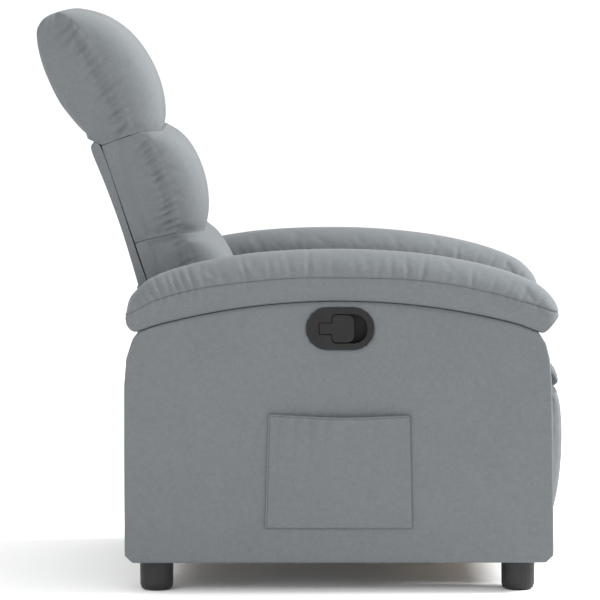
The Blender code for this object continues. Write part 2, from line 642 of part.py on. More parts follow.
def footrest_pad():
    front = smooth([(0.4550, 0.3455), (0.4660, 0.3380), (0.4713, 0.2990), (0.4713, 0.2555), (0.4680, 0.2020),
                    (0.4635, 0.1600), (0.4500, 0.1050)], 2)
    outline = [(0.4300, 0.1000), (0.4300, 0.3460), *front]
    return plate("footrest_pad", [outline], -0.232, 0.232, FABRIC, 0.010, 2)


def footrest(parent, at):
    right_drive, right_lift = scissor_half("right", SIDES["right"], at, parent)
    scissor_half("left", SIDES["left"], at, parent)
    reach = LAYER_A[0] - GAP
    hang(rod("torque_tube", at["base_top"], -reach, reach, TUBE_RADIUS, STEEL), right_drive)
    rest_axis = pivot("footrest_axis", *at["rest_top"], 0.0, right_lift)
    pieces = [footrest_board(), footrest_pad()]
    pieces += [rest_bracket(word, side, at) for word, side in SIDES.items()]
    hang_all(pieces, rest_axis)


# ---------------------------------------------------------------- the chair

def build():
    covers, boards = {}, {}
    for word, side in SIDES.items():
        covers[word] = arm_cover(word, side)
        boards[word] = arm_board(word, side)
        arm_pad(word, side)
        glide_rail(word, side)
        for place, forward in (("front", FOOT_FRONT), ("rear", FOOT_REAR)):
            foot(f"foot_{place}_{word}", forward, side * FOOT_OUTWARD)
    cross_pieces()
    side_pocket()
    handle_bezel(covers["right"])
    release_cable(covers["right"], boards["right"])
    latch_bracket()
    handle_lever(pivot("handle_axis", LEVER_PIN[0], BEZEL_CENTRE[1], LEVER_PIN[1]))
    latch_pawl(pivot("pawl_axis", *PAWL_PIVOT, sum(PAWL_LAYER) / 2))
    at = scissor_points()
    folded_spread = LINK_LENGTH * math.sin(STOWED_ANGLE)
    open_spread = LINK_LENGTH * math.sin(OPEN_ANGLE)
    glide = pivot("seat_glide_axis", 0.0, sum((RAIL_LOW, RAIL_HIGH)) / 2)
    seat(glide, SCISSOR_PIVOT[1] - folded_spread - 0.001, SCISSOR_PIVOT[1] - open_spread + 0.001)
    back(pivot("back_axis", *BACK_PIVOT, 0.0, glide))
    footrest(glide, at)


clear_scene()
PARTS = new_collection("recliner_armchair")
CUTTERS = new_collection("cutters")
FABRIC = new_material("grey_fabric", (0.245, 0.262, 0.275), 0.9)
PLASTIC = new_material("black_plastic", (0.045, 0.045, 0.046), 0.45)
NYLON = new_material("white_nylon", (0.75, 0.74, 0.70), 0.5)
STEEL = new_material("dark_steel", (0.10, 0.10, 0.105), 0.4, 1.0)
WOOD = new_material("pale_wood", (0.50, 0.34, 0.19), 0.6)
build()
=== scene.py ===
"""Looks of the recliner armchair: soft upholstery, moulded plastic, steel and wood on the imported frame.

Metres, +Z up, the front faces -Y and the sitter's right is -X. Soft pieces are lofted through
side-view guide lines given as (forward, up), inflated as cloth, then given their seams and gathers.
"""

import json
import math

import bmesh
import bpy
import numpy as np
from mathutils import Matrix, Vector


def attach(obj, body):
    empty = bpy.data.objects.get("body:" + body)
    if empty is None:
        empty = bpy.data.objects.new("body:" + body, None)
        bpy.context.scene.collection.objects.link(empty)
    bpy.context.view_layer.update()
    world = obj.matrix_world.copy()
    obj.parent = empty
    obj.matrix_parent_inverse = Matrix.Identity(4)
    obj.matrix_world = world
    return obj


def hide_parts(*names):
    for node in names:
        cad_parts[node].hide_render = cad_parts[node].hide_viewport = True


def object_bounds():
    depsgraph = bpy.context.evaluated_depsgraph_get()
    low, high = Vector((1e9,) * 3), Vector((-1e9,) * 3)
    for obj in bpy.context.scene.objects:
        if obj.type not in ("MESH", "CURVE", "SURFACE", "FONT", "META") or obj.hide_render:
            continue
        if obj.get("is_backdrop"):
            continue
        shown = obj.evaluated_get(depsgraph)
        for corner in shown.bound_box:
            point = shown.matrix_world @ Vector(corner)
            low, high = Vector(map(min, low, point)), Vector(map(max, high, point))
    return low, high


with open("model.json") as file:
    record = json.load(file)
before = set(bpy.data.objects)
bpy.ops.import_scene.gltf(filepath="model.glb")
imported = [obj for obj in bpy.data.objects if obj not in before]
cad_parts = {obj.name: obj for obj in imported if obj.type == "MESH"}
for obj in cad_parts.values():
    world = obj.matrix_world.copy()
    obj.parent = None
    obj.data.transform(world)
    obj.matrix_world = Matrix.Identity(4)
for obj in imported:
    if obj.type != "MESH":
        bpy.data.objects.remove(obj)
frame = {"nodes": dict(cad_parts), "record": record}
CAD_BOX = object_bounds()

BACK_PIVOT = (-0.185, 0.315)  # forward, up
BACK_TILT = math.radians(18.7)
ARCH_MIDDLE, ARCH_TOP, ARCH_RADIUS = 0.0645, 0.519, 1.237  # arched line between arm cover and pad
PAD_CENTRE, COVER_CENTRE = 0.288, 0.289  # outward from the chair's middle
ARM_SIDE = 0.3383  # outward, where the pocket lies on the arm
SIDES = {"right": 1, "left": -1}

SECTION_SCALE = (0.08, 1.0)  # turns (guide number, outward) into rough metres
FLAT_WEIGHT = 0.4  # how densely points lie on a flat rear face, against 1 elsewhere
CLOTH_FRAMES, CLOTH_PRESSURE, CLOTH_STIFFNESS, CLOTH_SLACK = 18, 4.0, 12, 0.004
SEWN_END, HEAD_END = 0.03, 0.09  # share of a piece's length held at a sewn end and at the head's top
PAD_GUIDE_GAP = 0.046  # metres from one of the arm pad's guides to the next


# ---------------------------------------------------------------- guide lines

def on_back(points):
    """Points given as (ahead of the back frame, up along the back), turned into (forward, up)."""
    sine, cosine = math.sin(BACK_TILT), math.cos(BACK_TILT)
    return [(BACK_PIVOT[0] + ahead * cosine - along * sine, BACK_PIVOT[1] + ahead * sine + along * cosine)
            for ahead, along in points]


def arch_line(start, end, rise, count=9):
    """Points on the arched line between an arm's cover and its pad."""
    forward = np.linspace(start, end, count)
    up = ARCH_TOP + rise + np.sqrt(ARCH_RADIUS ** 2 - (forward - ARCH_MIDDLE) ** 2) - ARCH_RADIUS
    return list(zip(forward, up))


def smooth_path(points, steps=12):
    """Centripetal Catmull-Rom curve through the points."""
    p = np.array(points, float)
    p = np.vstack([2 * p[0] - p[1], p, 2 * p[-1] - p[-2]])
    gap = np.maximum(np.linalg.norm(np.diff(p, axis=0), axis=1), 1e-9) ** 0.5
    t = (np.arange(steps) / steps)[:, None]
    path = []
    for k in range(1, len(p) - 2):
        (a, b, c, d), (before, here, after) = p[k - 1:k + 3], gap[k - 1:k + 2]
        leave = here * ((b - a) / before - (c - a) / (before + here) + (c - b) / here)
        arrive = here * ((c - b) / here - (d - b) / (here + after) + (d - c) / after)
        path.append((2 * t ** 3 - 3 * t ** 2 + 1) * b + (t ** 3 - 2 * t ** 2 + t) * leave
                    + (3 * t ** 2 - 2 * t ** 3) * c + (t ** 3 - t ** 2) * arrive)
    return np.vstack([*path, p[-2:-1]])


def along_path(path, shares, weight=None):
    """Points at shares of the path's length, which a weight for each of its steps can stretch."""
    step = np.linalg.norm(np.diff(path, axis=0), axis=1)
    if weight is not None:
        step = step * weight
    length = np.concatenate([[0], np.cumsum(step)])
    return np.stack([np.interp(shares * length[-1], length, path[:, k]) for k in range(path.shape[1])], 1)


def stations(count, bias):
    """Values from 0 to 1, closer together near the ends as the bias nears 1."""
    t = np.linspace(0, 1, count - 2)
    eased = (1 - bias) * t + bias * (1 - np.cos(math.pi * t)) / 2
    return np.sort(np.concatenate([eased, [0.004, 0.996]]))


def rounding(distance, radius):
    """How far a round corner pulls in at this distance from the end."""
    short = np.clip(radius - distance, 0, radius)
    return radius - np.sqrt(radius ** 2 - short ** 2)


# ---------------------------------------------------------------- meshes

def add_object(name, points, faces):
    """Mesh object from points given as (outward, forward, up)."""
    mesh = bpy.data.meshes.new(name)
    mesh.from_pydata([(-x, -forward, up) for x, forward, up in points], [], faces)
    shape = bmesh.new()
    shape.from_mesh(mesh)
    bmesh.ops.remove_doubles(shape, verts=shape.verts, dist=0.00001)
    bmesh.ops.recalc_face_normals(shape, faces=shape.faces)
    shape.to_mesh(mesh)
    shape.free()
    mesh.shade_smooth()
    piece = bpy.data.objects.new(name, mesh)
    bpy.context.scene.collection.objects.link(piece)
    return piece


def read(piece, attribute="position"):
    """An attribute of the piece's points as an array."""
    data = piece.data.attributes[attribute].data
    if attribute == "position":
        values = np.empty(len(data) * 3)
        data.foreach_get("vector", values)
        return values.reshape(-1, 3)
    values = np.empty(len(data))
    data.foreach_get("value", values)
    return values


def normals(piece):
    """The direction out of the surface at each point."""
    values = np.empty(len(piece.data.vertices) * 3)
    piece.data.vertex_normals.foreach_get("vector", values)
    return values.reshape(-1, 3)


def place(piece, points):
    """Move the piece's points."""
    piece.data.vertices.foreach_set("co", np.ascontiguousarray(points).ravel())
    piece.data.update()


def store(piece, name, values):
    """Keep a value for each of the piece's points."""
    layer = piece.data.attributes.new(name, "FLOAT", "POINT")
    layer.data.foreach_set("value", np.ascontiguousarray(values, dtype=float))


def loft(name, guides, section, squeeze, centre=0.0, rows=50, columns=90, bias=0.0):
    """Closed form through side-view guides, mirrored about its centre.

    The section is a list of (guide number, outward) knots that every row follows from the first
    guide round the side to the last. squeeze(outward, number, start, end) pulls a row in by its
    distances from the first and last rows.
    """
    v = stations(rows, bias)
    lines = np.stack([along_path(smooth_path(guide), v) for guide in guides])
    scaled = smooth_path(np.array(section) * SECTION_SCALE, 8)
    knots = scaled / SECTION_SCALE
    flat = (np.abs(np.diff(knots[:, 0])) < 0.001) & (knots[1:, 0] < 1.5)
    flat &= knots[1:, 1] < 0.9 * knots[:, 1].max()
    weight = np.where(flat, FLAT_WEIGHT, 1.0)
    fine = along_path(scaled, np.linspace(0, 1, columns), weight) / SECTION_SCALE
    number = np.clip(fine[:, 0], 0, len(guides) - 1)
    low = np.clip(number.astype(int), 0, len(guides) - 2)
    part = (number - low)[:, None]
    length = float(np.linalg.norm(np.diff(lines[len(guides) // 2], axis=0), axis=1).sum())
    half = np.zeros((rows, columns, 3))
    for row in range(rows):
        line = lines[:, row]
        half[row, :, 1:] = line[low] * (1 - part) + line[low + 1] * part
        half[row, :, 0] = squeeze(fine[:, 1], number, v[row] * length, (1 - v[row]) * length)
    loop = np.concatenate([half, (half * (-1, 1, 1))[:, ::-1][:, 1:-1]], 1)
    around = loop.shape[1]
    faces = []
    for base in range(0, (rows - 1) * around, around):
        faces += [(base + k, base + (k + 1) % around, base + around + (k + 1) % around, base + around + k)
                  for k in range(around)]
    for base in (0, (rows - 1) * around):
        faces += [(base + k, base + k + 1, base + around - k - 1, base + around - k)
                  for k in range(1, columns - 2)]
        faces += [(base, base + 1, base + around - 1),
                  (base + columns - 2, base + columns - 1, base + columns)]
    points = loop.reshape(-1, 3) + (centre, 0, 0)
    piece = add_object(name, points, faces)
    if len(piece.data.vertices) != len(points):
        raise ValueError(name + " has rows that meet")
    both = np.concatenate([number, number[::-1][1:-1]])
    store(piece, "number", np.tile(both, rows))
    store(piece, "row", np.repeat(v, around))
    store(piece, "arc", np.repeat(v, around) * length)
    return piece


def apply_modifiers(piece):
    """Keep the piece as its modifiers leave it."""
    bpy.context.view_layer.update()
    graph = bpy.context.evaluated_depsgraph_get()
    mesh = bpy.data.meshes.new_from_object(piece.evaluated_get(graph), preserve_all_data_layers=True,
                                           depsgraph=graph)
    piece.modifiers.clear()
    piece.data = mesh
    mesh.shade_smooth()


def subdivide(piece):
    """Smooth the piece with one level of subdivision."""
    finer = piece.modifiers.new("finer", "SUBSURF")
    finer.levels = finer.render_levels = 1
    apply_modifiers(piece)


def cut(piece, tool):
    """Cut the tool out of the piece and drop the tool."""
    hole = piece.modifiers.new("hole", "BOOLEAN")
    hole.object = tool
    hole.operation = "DIFFERENCE"
    hole.solver = "EXACT"
    apply_modifiers(piece)
    bpy.data.objects.remove(tool)


# ---------------------------------------------------------------- cloth

def falloff(distance, width):
    """1 at no distance, and nearly nothing beyond twice the width."""
    return np.exp(-(distance / width) ** 2)


def held_at(piece, seam, width, rear, low=0.0, high=0.0):
    """How firmly each point is held: fully at the seam, the rear face and the sewn ends.

    The seam and the rear face are given as guide numbers, the ends by how far along they hold.
    """
    number, row = read(piece, "number"), read(piece, "row")
    held = np.where(number < rear, 1.0, 0.0)
    held = np.maximum(held, falloff(number - seam, width) * np.clip((0.92 - row) / 0.1, 0, 1))
    for distance, share in ((row, low), (1 - row, high)):
        if share:
            held = np.maximum(held, falloff(distance, share))
    return held


def add_cloth(piece, held):
    """Cloth under pressure that is held where held is 1."""
    group = piece.vertex_groups.new(name="held")
    for level in np.unique(np.round(held, 1)):
        if level > 0:
            group.add(np.nonzero(np.round(held, 1) == level)[0].tolist(), float(level), "REPLACE")
    cloth = piece.modifiers.new("cloth", "CLOTH")
    settings = cloth.settings
    settings.quality = 4
    settings.mass = 0.25
    settings.tension_stiffness = settings.compression_stiffness = CLOTH_STIFFNESS
    settings.shear_stiffness = CLOTH_STIFFNESS
    settings.bending_stiffness = 0.15
    settings.vertex_group_mass = "held"
    settings.use_pressure = True
    settings.uniform_pressure_force = CLOTH_PRESSURE
    settings.shrink_min = -CLOTH_SLACK
    settings.effector_weights.gravity = 0.0
    cloth.collision_settings.use_collision = False
    cloth.point_cache.frame_end = CLOTH_FRAMES


def inflate(jobs):
    """Blow pieces up as cloth. A job is (piece, how firmly each point is held, furthest move).

    The free points start half of the furthest move inside the shape, so that it fits on average.
    """
    starts = []
    for piece, held, furthest in jobs:
        start = read(piece) - normals(piece) * (furthest / 2 * (1 - held))[:, None]
        starts.append(start)
        place(piece, start)
        add_cloth(piece, held)
    for step in range(1, CLOTH_FRAMES + 1):
        bpy.context.scene.frame_set(step)
    graph = bpy.context.evaluated_depsgraph_get()
    for (piece, held, furthest), start in zip(jobs, starts):
        swollen = piece.evaluated_get(graph).data
        points = np.empty(len(swollen.vertices) * 3)
        swollen.vertices.foreach_get("co", points)
        moved = points.reshape(-1, 3) - start
        size = np.linalg.norm(moved, axis=1, keepdims=True)
        capped = start + moved * np.minimum(1.0, furthest / np.maximum(size, 1e-9))
        piece.modifiers.clear()
        piece.vertex_groups.clear()
        place(piece, capped)
    bpy.context.scene.frame_set(1)


def gather(piece, folds, metres, seam):
    """Press sewn folds across a seam, which is given as a guide number.

    A fold is (place along, half width, reach back, reach ahead, slant, depth). metres is the distance from
    one guide to the next.
    """
    arc, row = read(piece, "arc"), read(piece, "row")
    away = (read(piece, "number") - seam) * metres
    inside = np.clip(np.minimum(row, 1 - row) / 0.05, 0, 1)
    depth = np.zeros(len(arc))
    for along, half, back, ahead, slant, press in folds:
        across = ((arc - along - slant * away) / half) ** 2
        fade = np.exp(-np.abs(away / np.where(away < 0, back, ahead)) ** 2.5)
        depth += press * inside * fade * (1 - 1.3 * across) * np.exp(-across)
    place(piece, read(piece) - normals(piece) * depth[:, None])


def groove(piece, metres, width, depth):
    """Sink a seam line along the piece's second guide."""
    row = read(piece, "row")
    fade = np.clip(np.minimum(row, 1 - row) / 0.01, 0, 1)
    sunk = depth * falloff((read(piece, "number") - 1) * metres, width) * fade
    place(piece, read(piece) - normals(piece) * sunk[:, None])


def scattered(seed, start, end, spacing, half, reach, slant, press):
    """Irregular folds along a seam, from start to end."""
    random = np.random.RandomState(seed)
    folds, along = [], start
    while along < end:
        strength = random.uniform(0.35, 1.0)
        width = half * random.uniform(0.8, 1.4)
        back, ahead = reach * random.uniform(0.6, 1.3), reach * random.uniform(0.6, 1.3)
        folds.append((along, width, back, ahead, slant + random.uniform(-0.12, 0.12), press * strength))
        along += spacing * random.uniform(0.6, 1.5)
    return folds


# ---------------------------------------------------------------- materials

def nodes_of(name):
    """A new material, its node tree and its shader."""
    material = bpy.data.materials.new(name)
    material.use_nodes = True
    tree = material.node_tree
    return material, tree, tree.nodes["Principled BSDF"]


def add_node(tree, kind, inputs=None, **settings):
    """A shader node with these values on its inputs and these settings."""
    node = tree.nodes.new(kind)
    for key, value in settings.items():
        setattr(node, key, value)
    for key, value in (inputs or {}).items():
        node.inputs[key].default_value = value
    return node


def noise(tree, scale, detail=2.0, roughness=0.5, stretch=(1, 1, 1)):
    """Noise in object coordinates, which stretch makes finer along each axis."""
    coordinates = add_node(tree, "ShaderNodeTexCoord")
    mapping = add_node(tree, "ShaderNodeMapping", {"Scale": stretch})
    tree.links.new(coordinates.outputs["Object"], mapping.inputs["Vector"])
    node = add_node(tree, "ShaderNodeTexNoise", {"Scale": scale, "Detail": detail, "Roughness": roughness})
    tree.links.new(mapping.outputs["Vector"], node.inputs["Vector"])
    return node.outputs["Fac"]


def weighted(tree, *parts):
    """Sum of values times their weights, given as (value, weight)."""
    total = None
    for value, weight in parts:
        term = add_node(tree, "ShaderNodeMath", {1: weight}, operation="MULTIPLY")
        tree.links.new(value, term.inputs[0])
        if total is not None:
            both = add_node(tree, "ShaderNodeMath", operation="ADD")
            tree.links.new(total.outputs[0], both.inputs[0])
            tree.links.new(term.outputs[0], both.inputs[1])
            term = both
        total = term
    return total.outputs[0]


def two_tone(tree, shader, value, dark, light, low=0.0, high=1.0):
    """Colour the shader from dark, where the value is low, to light, where it is high."""
    ramp = add_node(tree, "ShaderNodeValToRGB")
    for element, position, colour in zip(ramp.color_ramp.elements, (low, high), (dark, light)):
        element.position, element.color = position, (*colour, 1)
    tree.links.new(value, ramp.inputs["Fac"])
    tree.links.new(ramp.outputs["Color"], shader.inputs["Base Color"])


def roughened(tree, shader, value, low, high):
    """Roughness that follows the value from low to high."""
    rough = add_node(tree, "ShaderNodeMapRange", {"To Min": low, "To Max": high})
    tree.links.new(value, rough.inputs["Value"])
    tree.links.new(rough.outputs["Result"], shader.inputs["Roughness"])


def bumped(tree, shader, height, strength, distance):
    """Relief that follows the height."""
    bump = add_node(tree, "ShaderNodeBump", {"Strength": strength, "Distance": distance})
    tree.links.new(height, bump.inputs["Height"])
    tree.links.new(bump.outputs["Normal"], shader.inputs["Normal"])


def fabric(name, dark, light):
    """Brushed slub weave: crossed yarns, streaks and faint broad shading."""
    material, tree, shader = nodes_of(name)
    shader.inputs["Roughness"].default_value = 0.86
    shader.inputs["Specular IOR Level"].default_value = 0.25
    shader.inputs["Sheen Weight"].default_value = 0.08
    shader.inputs["Sheen Roughness"].default_value = 0.45
    yarns = [noise(tree, 1.0, 3.0, 0.6, stretch)
             for stretch in ((700, 700, 110), (700, 110, 700), (110, 700, 700))]
    weave = weighted(tree, *((yarn, 1 / 3) for yarn in yarns))
    mix = weighted(tree, (weave, 0.80), (noise(tree, 9.0, 3.0), 0.08), (noise(tree, 90.0), 0.12))
    two_tone(tree, shader, mix, dark, light, 0.36, 0.66)
    bumped(tree, shader, weave, 0.35, 0.0006)
    return material


def plastic(name, dark, light, specular):
    """Moulded plastic with a fine spark-eroded grain and slightly polished patches."""
    material, tree, shader = nodes_of(name)
    shader.inputs["Specular IOR Level"].default_value = specular
    grain, rubbed = noise(tree, 1400.0), noise(tree, 28.0, 3.0)
    two_tone(tree, shader, weighted(tree, (grain, 0.5), (rubbed, 0.5)), dark, light, 0.3, 0.7)
    roughened(tree, shader, rubbed, 0.38, 0.56)
    bumped(tree, shader, grain, 0.25, 0.0003)
    return material


def steel(name, dark, light):
    """Stove-enamelled steel with orange peel and worn lighter spots."""
    material, tree, shader = nodes_of(name)
    shader.inputs["Metallic"].default_value = 0.85
    wear = noise(tree, 45.0, 5.0, 0.7)
    two_tone(tree, shader, wear, dark, light, 0.45, 0.75)
    roughened(tree, shader, wear, 0.3, 0.5)
    bumped(tree, shader, noise(tree, 320.0), 0.15, 0.0004)
    return material


def wood(name, dark, light):
    """Sanded plywood: long grain with finer pores."""
    material, tree, shader = nodes_of(name)
    shader.inputs["Roughness"].default_value = 0.62
    grain = noise(tree, 1.0, 5.0, 0.6, (60, 9, 60))
    pores = noise(tree, 1.0, stretch=(500, 60, 500))
    two_tone(tree, shader, weighted(tree, (grain, 0.7), (pores, 0.3)), dark, light, 0.35, 0.65)
    bumped(tree, shader, pores, 0.2, 0.0003)
    return material


def make_finishes():
    """The material for each slot of the frame, and for the two kinds of node that differ from it."""
    black = (0.007, 0.007, 0.0073), (0.015, 0.015, 0.0153)
    return {
        "plastic": plastic("black_grained", *black, 0.22),
        "feet": plastic("black_foot_grain", *black, 0.35),
        "nylon": plastic("white_nylon_grain", (0.62, 0.61, 0.57), (0.74, 0.73, 0.69), 0.5),
        "steel": steel("enamelled_steel", (0.055, 0.055, 0.058), (0.16, 0.16, 0.165)),
        "wood": wood("plywood_grain", (0.40, 0.26, 0.14), (0.58, 0.42, 0.25)),
        # painted shade: near-black wood for the back frame, so that where it shows in the gaps of the back
        # it reads as shade
        "stained": wood("painted_gap_shade_grain", (0.010, 0.010, 0.010), (0.022, 0.021, 0.020)),
    }


# ---------------------------------------------------------------- upholstery

TIER_SEAM = 2.0  # number of the guide that a back tier's side seam lies on
FRAME_WRAP = [(1, 0), (1, 0.10), (1, 0.2060), (1, 0.2125), (0.60, 0.2131), (0.08, 0.2133), (0, 0.2142),
              (0, 0.2172), (0.08, 0.2182), (0.60, 0.2186)]
PLAIN_REAR = [(0, 0), (0, 0.10), (0, 0.1850), (0.03, 0.2010), (0.15, 0.2100), (0.45, 0.2155),
              (0.85, 0.2176)]
PAD_FOLDS = (  # place along, half width, reach back, reach ahead, slant, depth
    (0.020, 0.007, 0.030, 0.030, 0.0, 0.0026), (0.040, 0.005, 0.020, 0.026, 0.1, 0.0016),
    (0.053, 0.0050, 0.020, 0.030, 0.0, 0.0022), (0.067, 0.0048, 0.016, 0.030, -0.1, 0.0026),
    (0.081, 0.0048, 0.024, 0.034, 0.0, 0.0028), (0.096, 0.0050, 0.016, 0.034, 0.1, 0.0022),
    (0.110, 0.0048, 0.020, 0.030, 0.0, 0.0028), (0.124, 0.0050, 0.012, 0.034, 0.0, 0.0026),
    (0.139, 0.0055, 0.030, 0.036, 0.0, 0.0030), (0.156, 0.0060, 0.012, 0.030, 0.1, 0.0014),
    (0.190, 0.0080, 0.010, 0.030, 0.0, 0.0010), (0.232, 0.0052, 0.030, 0.040, -0.05, 0.0022),
    (0.272, 0.0065, 0.010, 0.034, 0.1, 0.0014), (0.308, 0.0080, 0.010, 0.034, 0.0, 0.0014),
    (0.338, 0.0060, 0.012, 0.036, 0.15, 0.0022), (0.381, 0.0070, 0.010, 0.030, 0.0, 0.0010),
    (0.420, 0.0080, 0.008, 0.030, 0.0, 0.0010), (0.460, 0.0060, 0.012, 0.026, 0.1, 0.0014),
    (0.484, 0.0060, 0.014, 0.034, -0.1, 0.0016), (0.512, 0.0055, 0.012, 0.034, -0.15, 0.0018),
    (0.537, 0.0060, 0.026, 0.036, 0.05, 0.0024), (0.580, 0.0070, 0.008, 0.026, 0.0, 0.0010),
    (0.625, 0.0055, 0.012, 0.030, -0.15, 0.0018), (0.662, 0.0060, 0.010, 0.026, 0.0, 0.0012),
    (0.688, 0.0060, 0.014, 0.030, 0.1, 0.0014), (0.716, 0.0055, 0.018, 0.030, 0.0, 0.0018),
    (0.748, 0.0055, 0.020, 0.026, 0.0, 0.0020))


def back_section(rear, gusset, hollow, crest):
    """Section of a back tier: rear face, hollow gusset, seam on the crest and round front pillow."""
    front = [(0.10, gusset - 0.0010), (0.25, gusset), (0.42, gusset - 0.0016), (0.60, hollow),
             (0.76, hollow + 0.0008), (0.90, crest - 0.0024), (1.0, crest - 0.0010), (1.12, crest),
             (1.28, crest - 0.0006), (1.45, crest - 0.0040), (1.62, crest - 0.0105), (1.78, crest - 0.0220),
             (1.90, crest - 0.0400), (1.97, crest - 0.0650), (1.995, crest - 0.0950), (2, crest - 0.130),
             (2, 0.05), (2, 0)]
    return [*rear, *((number + 1, outward) for number, outward in front)]


def unchanged(outward, number, start, end):
    """No rounding at either end."""
    return outward


def rounded(radius, lead=0.001):
    """Both ends of a piece rounded in plan."""
    def squeeze(outward, number, start, end):
        return outward * (1 - rounding(min(start, end) + lead, radius) / outward.max())
    return squeeze


def sewn(low, high):
    """The sides of a tier drawn in towards its sewn ends."""
    def squeeze(outward, number, start, end):
        distance = min(start if low else math.inf, end if high else math.inf)
        near = max(0.0, 1 - distance / 0.024) ** 2
        depth = 0.0025 + 0.0075 * np.clip((number - TIER_SEAM + 0.2) / 0.4, 0, 1)
        outer = np.where(number > TIER_SEAM, (outward - 0.12) / 0.08, (outward - 0.2140) / 0.004)
        return outward - near * depth * np.clip(outer, 0, 1)
    return squeeze


def head_squeeze(outward, number, start, end):
    """The head cushion: sewn below, and rounded in plan towards its top."""
    drawn = sewn(True, False)(outward, number, start, end)
    return drawn * (1 - rounding(end + 0.004, 0.052) / 0.222)


def make_back():
    """The three tiers of the back and its rear cover."""
    head = loft("head_pillow", [
        on_back([(-0.0335, 0.5240), (-0.0400, 0.5420), (-0.0540, 0.5770), (-0.0650, 0.6250),
                 (-0.0695, 0.6800), (-0.0685, 0.7170), (-0.0595, 0.7445), (-0.0410, 0.7548),
                 (-0.0220, 0.7568)]),
        on_back([(-0.0110, 0.5042), (-0.0180, 0.5400), (-0.0260, 0.5750), (-0.0320, 0.6250),
                 (-0.0380, 0.6800), (-0.0400, 0.7220), (-0.0355, 0.7455), (-0.0255, 0.7543),
                 (-0.0175, 0.7570)]),
        on_back([(0.0430, 0.5060), (0.0440, 0.5360), (0.0430, 0.5630), (0.0400, 0.5950), (0.0330, 0.6290),
                 (0.0260, 0.6580), (0.0180, 0.6920), (0.0070, 0.7230), (-0.0040, 0.7475),
                 (-0.0120, 0.7570)]),
        on_back([(0.0885, 0.4840), (0.1060, 0.5110), (0.1145, 0.5500), (0.1155, 0.5950), (0.1070, 0.6450),
                 (0.0910, 0.6860), (0.0670, 0.7190), (0.0400, 0.7410), (0.0140, 0.7530),
                 (-0.0070, 0.7568)])],
        back_section(PLAIN_REAR, 0.2180, 0.2150, 0.2212), head_squeeze, rows=52, columns=84, bias=0.35)
    middle = loft("middle_pillow", [
        on_back([(-0.0138, 0.3195), (-0.0138, 0.4100), (-0.0138, 0.5055)]),
        on_back([(0.0055, 0.3190), (0.0055, 0.4100), (0.0055, 0.5064)]),
        on_back([(0.0600, 0.3135), (0.0690, 0.3320), (0.0740, 0.3670), (0.0750, 0.4010), (0.0740, 0.4280),
                 (0.0690, 0.4730), (0.0600, 0.5070)]),
        on_back([(0.1050, 0.2870), (0.1230, 0.3160), (0.1350, 0.3580), (0.1380, 0.4050), (0.1310, 0.4520),
                 (0.1160, 0.4820), (0.0980, 0.4944)])],
        back_section(FRAME_WRAP, 0.2185, 0.2155, 0.2212), sewn(True, True),
        rows=42, columns=84, bias=0.35)
    lumbar = loft("lumbar_pillow", [
        on_back([(-0.0138, 0.0890), (-0.0138, 0.2000), (-0.0138, 0.3205)]),
        on_back([(0.0055, 0.0890), (0.0055, 0.2000), (0.0055, 0.3205)]),
        on_back([(0.0560, 0.0890), (0.0560, 0.1500), (0.0620, 0.2200), (0.0680, 0.2700), (0.0640, 0.3145)]),
        on_back([(0.0450, 0.0900), (0.0700, 0.1190), (0.1100, 0.1260), (0.1310, 0.1500), (0.1390, 0.2050),
                 (0.1330, 0.2550), (0.1230, 0.2820), (0.1080, 0.2992)])],
        back_section(FRAME_WRAP, 0.2185, 0.2158, 0.2205), sewn(False, True),
        rows=44, columns=84, bias=0.3)
    cover = loft("back_skin", [
        on_back([(-0.0240, 0.0455), (-0.0305, 0.0520), (-0.0325, 0.1200), (-0.0330, 0.2200),
                 (-0.0300, 0.2900), (-0.0280, 0.3500), (-0.0290, 0.4200), (-0.0310, 0.4600),
                 (-0.0332, 0.4960), (-0.0318, 0.5100),
                 (-0.0265, 0.5145)]),
        on_back([(-0.0228, 0.0450), (-0.0228, 0.3000), (-0.0228, 0.5148)]),
        on_back([(-0.0210, 0.0455), (-0.0150, 0.0520), (-0.0150, 0.3000), (-0.0150, 0.5030),
                 (-0.0190, 0.5145)])],
        [(0, 0), (0, 0.2150), (0.08, 0.2176), (0.30, 0.2186), (1, 0.2188), (1.7, 0.2187), (1.95, 0.2180),
         (2, 0.2160), (2, 0)],
        rounded(0.008), rows=80, columns=60, bias=0.3)
    return head, middle, lumbar, cover


def make_seat():
    """Seat cushion: flat below, with a roll over its front edge."""
    return loft("seat_pillow", [
        [(-0.125, 0.3400), (0.380, 0.3400), (0.4240, 0.3540), (0.4550, 0.3575)],
        [(-0.125, 0.3980), (0.350, 0.4050), (0.4250, 0.3950), (0.4500, 0.3760), (0.4595, 0.3602)],
        [(-0.125, 0.4520), (0.0, 0.4630), (0.2500, 0.4655), (0.3400, 0.4630), (0.4050, 0.4510),
         (0.4320, 0.4330), (0.4460, 0.4170), (0.4570, 0.3970), (0.4625, 0.3800), (0.4618, 0.3640)]],
        [(0, 0), (0, 0.2150), (0.15, 0.2270), (0.6, 0.2320), (1, 0.2330), (1.5, 0.2315), (1.8, 0.2240),
         (1.95, 0.2050), (2, 0.1700), (2, 0)],
        rounded(0.012, 0.002), rows=84, columns=56, bias=0.4)


